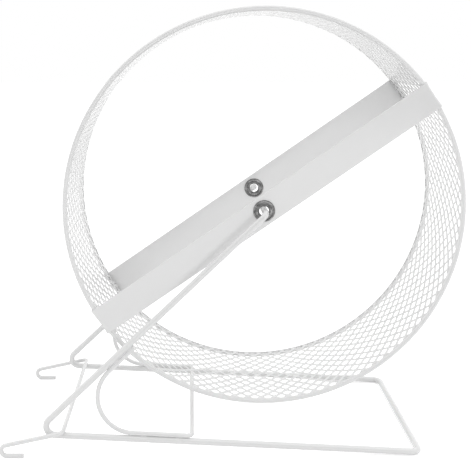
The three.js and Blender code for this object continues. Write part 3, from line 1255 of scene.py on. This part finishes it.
@dataclass
class StandWires(Maker):
    """The three bent wires of the stand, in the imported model's sizes."""

    wire: float = 0.0044
    floor_gap: float = 0.0222
    rail_spread: float = 0.0191
    rail_right: float = 0.1164
    leg_foot: float = 0.1526
    leg_bend: float = 0.0063
    rail_bend: float = 0.006
    elbow_reach: float = 0.0105
    elbow_right: float = 0.001
    elbow_drop: float = 0.0006
    elbow_bend: float = 0.0045
    stub_end: float = 0.003
    stub_lift: float = 0.0006
    brace: float = 0.003
    brace_arc: float = 0.0256
    brace_left: float = 0.0425
    brace_lap: float = 0.025
    brace_bend: float = 0.004
    hook: float = 0.003
    hook_inset: float = 0.0206
    hook_arm: float = 0.042
    hook_side_gap: float = 0.0018
    hook_droop: float = math.radians(15.2)
    hook_drop: float = 0.0069
    hook_bend: float = 0.0036
    hook_shoulder_bend: float = 0.004
    hook_tip: float = 0.0157
    hook_tip_rise: float = math.radians(3)
    sides: int = 28

    @property
    def place(self) -> Matrix:
        """Where the stand's own space lies: leaning about the axle."""
        return Matrix.Translation(self.axle) @ Matrix.Rotation(self.rest_tilt(), 4, "Y")

    @property
    def rail_z(self) -> float:
        """Height of the rails' middle line, from the axle."""
        return -(self.sizes.radius + self.floor_gap)

    @property
    def rail_y(self) -> float:
        """From the middle of the stand out to a rail."""
        return self.sizes.rim_spacing / 2 + self.rail_spread

    @property
    def thin_z(self) -> float:
        """Height of the thin wires that lie on the rails."""
        return self.rail_z + (self.wire + self.brace) / 2 + self.sizes.seat_gap

    @property
    def hook_y(self) -> float:
        """From the middle of the stand out to a hook."""
        return self.rail_y + (self.wire + self.hook) / 2 + self.hook_side_gap

    @property
    def hook_left(self) -> float:
        """From the axle to the hook wire's cross stretch."""
        return self.leg_foot - self.hook_inset

    def stand_half(self) -> list[Corner]:
        """The main wire's front half.

        Returns:
            Its corners, from the stub in the eyelet to the cross rail.
        """
        strap_outer = self.sizes.rim_wire / 2 + self.sizes.seat_gap + self.sizes.strap_sheet
        elbow_y = self.sizes.rim_spacing / 2 + strap_outer + self.elbow_reach
        elbow = Corner(Vector((self.elbow_right, -elbow_y, -self.elbow_drop)), self.elbow_bend)
        hub = Vector((0, -(self.sizes.rim_spacing / 2 + self.sizes.strap_middle), self.stub_lift))
        inward = (hub - elbow.at).normalized()
        past = (self.stub_end + self.sizes.strap_sheet / 2) / inward.y
        return [
            Corner(hub + inward * past),
            elbow,
            Corner(Vector((-self.leg_foot, -self.rail_y, self.rail_z)), self.leg_bend),
            Corner(Vector((self.rail_right, -self.rail_y, self.rail_z)), self.rail_bend),
        ]

    def leg_up(self) -> Vector:
        """Direction of the front leg, from its foot up."""
        _, elbow, foot, _ = self.stand_half()
        return (elbow.at - foot.at).normalized()

    def brace_half(self) -> list[Corner]:
        """The brace wire's front half.

        Returns:
            Its corners, from its end on the leg to its cross stretch.
        """
        foot = self.stand_half()[2]
        up = self.leg_up()
        flat = math.hypot(up.x, up.z)
        beside = (self.wire + self.brace) / 2 + self.sizes.seat_gap
        arc_x = foot.at.x + (beside + (self.thin_z - self.rail_z) * up.x / flat) * flat / up.z
        arc = Corner(Vector((arc_x, -self.rail_y, self.thin_z)), self.brace_arc)
        turn = math.pi - up.angle(RIGHT)
        end = arc.at + up * (self.brace_arc * math.tan(turn / 2) + self.brace_lap)
        return [
            Corner(end),
            arc,
            Corner(Vector((-self.brace_left, -self.rail_y, self.thin_z)), self.brace_bend),
        ]

    def hook_half(self) -> list[Corner]:
        """The hook wire's front half.

        Returns:
            Its corners, from the hook's tip to its shoulder.
        """
        reach = self.hook_left + self.hook_arm
        closed_z = self.thin_z - self.hook_arm * math.tan(self.hook_droop)
        low = Vector((-reach, -self.hook_y, closed_z - self.hook_drop))
        tip = low + spoke(self.hook_tip_rise) * self.hook_tip
        return [
            Corner(tip),
            Corner(low, self.hook_bend),
            Corner(Vector((-reach, -self.hook_y, closed_z)), self.hook_bend),
            Corner(Vector((-self.hook_left, -self.hook_y, self.thin_z)), self.hook_shoulder_bend),
        ]

    def rest_tilt(self) -> float:
        """Leans the stand until it rests on its hooks and its cross rail.

        Returns:
            The angle that it leans.
        """
        low = self.hook_half()[1].at
        run = self.rail_right - (low.x + self.hook_bend)
        half_turn = math.pi / 4 + self.hook_tip_rise / 2
        drop = self.rail_z - (low.z + self.hook_bend * math.tan(half_turn))
        rise = self.hook_bend + (self.hook - self.wire) / 2
        return math.asin(rise / math.hypot(run, drop)) + math.atan2(drop, run)

    def build(self, tree: WireTree) -> None:
        """Builds the three wires.

        Args:
            tree: The tree that draws wires.
        """
        wires = {
            "stand_frame": ("stand_wire", self.stand_half(), self.wire),
            "brace_wire": ("brace_loop", self.brace_half(), self.brace),
            "hook_wire": ("hook_loop", self.hook_half(), self.hook),
        }
        for node, (name, half, diameter) in wires.items():
            wire = tree.make(
                name,
                BentWire.both_halves(half).route(self.place),
                Diameter=diameter,
                Sides=self.sides,
                Material=self.finish,
            )
            dress(wire, Body.STAND, Slot.COAT, [node])


@dataclass(frozen=True)
class WeldSpot:
    """A spot where two wires are fused under the coat."""

    at: Vector
    along: Vector
    radii: Triple


class WeldTree(FormTree):
    """Puts a small smooth swelling on each point, turned and stretched as its attributes say."""

    def __init__(self) -> None:
        """Builds the tree, with the input Detail."""
        super().__init__("weld_spots", {"Detail": "Int"})
        named, vector = "GeometryNodeInputNamedAttribute", "FLOAT_VECTOR"
        turn, radii = (
            self.node(named, {"Name": name}, data_type=vector).outputs["Attribute"]
            for name in ("turn", "radii")
        )
        bead = {"Radius": 1.0, "Subdivisions": self.value("Detail")}
        inputs = {
            "Points": self.value("Geometry"),
            "Instance": self.node("GeometryNodeMeshIcoSphere", bead).outputs["Mesh"],
            "Rotation": self.node("FunctionNodeEulerToRotation", {"Euler": turn}).outputs[0],
            "Scale": radii,
        }
        self.finish(self.node("GeometryNodeInstanceOnPoints", inputs).outputs["Instances"])


@dataclass
class Welds:
    """The resistance welds between the stand's wires.

    The spots are shares of the stretch where two wires lie together. A weld whose direction has
    more than the share steep of straight up in it is turned about another axis.
    """

    stand: StandWires
    lap_spots: tuple[float, ...] = (0.16, 0.62)
    rail_spots: tuple[float, ...] = (0.2, 0.86)
    seam_middle: float = 0.5
    lap_radii: Triple = (0.0024, 0.0008, 0.0010)
    seam_radii: Triple = (0.0125, 0.0005, 0.0006)
    rail_radii: Triple = (0.0024, 0.0010, 0.0008)
    crossing_radii: Triple = (0.0014, 0.0014, 0.0007)
    steep: float = 0.9
    detail: int = 3

    def spots(self) -> list[WeldSpot]:
        """The welds of the front half.

        Returns:
            The spots, in the stand's own space.
        """
        stand = self.stand
        end, arc, cross = stand.brace_half()
        up = stand.leg_up()
        side = Vector((-up.z, 0, up.x)).normalized()
        beside = side * (stand.brace + stand.sizes.seat_gap) / 2
        laps = [(share, self.lap_radii) for share in self.lap_spots]
        found = []
        for share, radii in (*laps, (self.seam_middle, self.seam_radii)):
            found.append(WeldSpot(end.at - up * stand.brace_lap * share + beside, up, radii))
        tangent = stand.brace_arc * math.tan((math.pi - up.angle(RIGHT)) / 2)
        start = arc.at.x + tangent
        run = cross.at.x - stand.brace_bend - start
        rails = [(start + run * share, self.rail_radii) for share in self.rail_spots]
        top = stand.rail_z + (stand.wire + stand.sizes.seat_gap) / 2
        for x, radii in (*rails, (-stand.hook_left, self.crossing_radii)):
            found.append(WeldSpot(Vector((x, -stand.rail_y, top)), RIGHT, radii))
        return found

    def build(self) -> None:
        """Builds every weld of both halves as one piece."""
        places, turns, radii = [], [], []
        for spot in self.spots():
            for mirror in (Vector((1, 1, 1)), Vector((1, -1, 1))):
                along = self.stand.place.to_3x3() @ (spot.along * mirror)
                out = UP if abs(along.z) < self.steep else RIGHT
                second = out.cross(along).normalized()
                basis = Matrix((along, second, along.cross(second))).transposed()
                places.append(self.stand.place @ (spot.at * mirror))
                turns += basis.to_euler()
                radii += spot.radii
        mesh = bpy.data.meshes.new("weld_places")
        mesh.from_pydata(places, [], [])
        for name, values in (("turn", turns), ("radii", radii)):
            mesh.attributes.new(name, "FLOAT_VECTOR", "POINT").data.foreach_set("vector", values)
        finish = self.stand.finish
        spots = WeldTree().make("wire_welds", mesh, Detail=self.detail, Material=finish)
        dress(spots, Body.STAND, Slot.COAT)


@dataclass(frozen=True)
class Studio:
    """The pale floor, the soft light and the camera, round an object with this middle."""

    middle: Vector
    picture: tuple[int, int] = (471, 464)
    focal_pixels: float = 870.0
    principal: Pair = (185.0, 160.0)
    sensor: float = 36.0
    eye: Triple = (-0.0286, -0.6416, 0.2830)
    yaw: float = math.radians(-0.42)
    pitch: float = math.radians(7.49)
    roll: float = math.radians(-0.07)
    sky: float = 0.22
    sky_top: float = 1.20
    lamp_power: float = 7.6
    lamp_size: float = 0.7
    lamp_place: Triple = (0.9, -2.2, -0.1)
    board_size: Pair = (3.9, 2.9)
    board_place: Triple = (0.0, -2.8, 0.8)
    board_grey: float = 0.12
    floor_colour: Triple = (0.80, 0.80, 0.80)
    floor_glow: float = 0.5
    floor_half: float = 6.0
    matt_roughness: float = 0.9
    clip: Pair = (0.01, 50.0)

    def build(self) -> None:
        """Sets the stage."""
        self.add_camera()
        self.add_floor()
        self.add_sky()
        self.add_lamp()
        self.add_board()
        bpy.context.scene.view_settings.view_transform = "Standard"

    def add_camera(self) -> None:
        """Places the camera as the photograph has it."""
        wide, high = self.picture
        data = bpy.data.cameras.new("camera")
        data.sensor_width = self.sensor
        data.lens = self.focal_pixels / wide * self.sensor
        data.shift_x = (wide / 2 - self.principal[0]) / wide
        data.shift_y = -(high / 2 - self.principal[1]) / wide
        data.clip_start, data.clip_end = self.clip
        level = math.cos(self.pitch)
        forward = (math.sin(self.yaw) * level, math.cos(self.yaw) * level, -math.sin(self.pitch))
        turned = Vector(forward).to_track_quat("-Z", "Y").to_matrix().to_4x4()
        camera = linked_object("camera", data)
        rolled = turned @ Matrix.Rotation(self.roll, 4, "Z")
        camera.matrix_world = Matrix.Translation(self.eye) @ rolled
        bpy.context.scene.camera = camera

    def add_floor(self) -> None:
        """A wide pale floor that shows white and keeps the object's soft shadow."""
        build = bmesh.new()
        bmesh.ops.create_grid(build, x_segments=1, y_segments=1, size=self.floor_half)
        finish = bpy.data.materials.new("pale_floor")
        graph = Graph.emptied(finish)
        graph.surface(
            {
                "Base Color": opaque(self.floor_colour),
                "Roughness": self.matt_roughness,
                "Specular IOR Level": 0.0,
                "Emission Color": WHITE,
                "Emission Strength": self.seen_directly(graph, self.floor_glow, 0.0),
            }
        )
        floor = object_from_bmesh("floor", build, finish)
        floor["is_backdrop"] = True

    @staticmethod
    def seen_directly(graph: Graph, seen: float, otherwise: object) -> NodeSocket:
        """A strength for what the camera, a reflection or a clear part sees, and one for the rest.

        Args:
            graph: The graph to add to.
            seen: The strength where it is seen.
            otherwise: The strength where it only lights, a number or a socket.

        Returns:
            The strength's socket.
        """
        rays = graph.node("ShaderNodeLightPath")
        direct = graph.math("MAXIMUM", rays.outputs["Is Camera Ray"], rays.outputs["Is Glossy Ray"])
        direct = graph.math("MAXIMUM", direct, rays.outputs["Is Transmission Ray"])
        return graph.mix(direct, otherwise, seen)

    def add_sky(self) -> None:
        """A white surround that lights the object evenly from the sides and more from above."""
        world = bpy.data.worlds.new("tent")
        graph = Graph.emptied(world)
        direction = graph.node("ShaderNodeTexCoord").outputs["Generated"]
        parts = graph.node("ShaderNodeSeparateXYZ", {"Vector": direction})
        height = graph.math("MAXIMUM", parts.outputs["Z"], 0.0)
        light = graph.math("ADD", graph.math("MULTIPLY", height, self.sky_top), self.sky)
        strength = self.seen_directly(graph, 1.0, light)
        glow = graph.node("ShaderNodeBackground", {"Color": WHITE, "Strength": strength})
        graph.node("ShaderNodeOutputWorld", {"Surface": glow.outputs["Background"]})
        bpy.context.scene.world = world

    def add_lamp(self) -> None:
        """A large soft lamp low on the right, in front, which leaves no highlight."""
        data = bpy.data.lights.new("soft_lamp", "AREA")
        data.shape = "DISK"
        data.size = self.lamp_size
        data.energy = self.lamp_power
        lamp = linked_object("soft_lamp", data)
        place = self.middle + Vector(self.lamp_place)
        aim = (self.middle - place).to_track_quat("-Z", "Y").to_matrix().to_4x4()
        lamp.matrix_world = Matrix.Translation(place) @ aim
        lamp.visible_glossy = False

    def add_board(self) -> None:
        """A dark board behind the lamp that only reflections show, for the steel's contrast."""
        width, height = self.board_size
        place = Vector(self.board_place)
        build = bmesh.new()
        corners = []
        for x, z in ((-1, -1), (-1, 1), (1, 1), (1, -1)):
            corners.append(build.verts.new(place + Vector((x * width / 2, 0, z * height / 2))))
        build.faces.new(corners)
        finish = bpy.data.materials.new("dark_board")
        looks = {"Base Color": opaque((self.board_grey,) * 3), "Roughness": self.matt_roughness}
        Graph.emptied(finish).surface(looks)
        board = object_from_bmesh("dark_board", build, finish)
        board.visible_camera = False
        board.visible_diffuse = False
        board.visible_shadow = False
        board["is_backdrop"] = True


def main() -> None:
    """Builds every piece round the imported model."""
    logging.basicConfig(level=logging.INFO, format="%(name)s: %(message)s")
    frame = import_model()
    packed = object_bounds()
    middle = (packed[0] + packed[1]) / 2
    axle = Vector(frame["joints"][0]["pos_m"])
    ripple, cloud = SurfaceGroup.ripple(), SurfaceGroup.cloud()
    coated = (WheelSizes(), axle, POWDER_COAT.build(ripple, cloud))
    steel = EYELET_STEEL.build(ripple, cloud)
    wires = WireTree()
    stand = StandWires(*coated)
    steps = {
        "camera, floor and light": Studio(middle).build,
        "stand wires": lambda: stand.build(wires),
        "welds": Welds(stand).build,
        "hoops": lambda: Hoops(*coated).build(wires),
        "mesh floor": MeshFloor(*coated).build,
        "straps": Straps(*coated).build,
        "eyelets": Eyelets(WheelSizes(), axle, steel).build,
    }
    for label, step in steps.items():
        LOG.info("building %s", label)
        step()


if __name__ == "__main__":
    main()
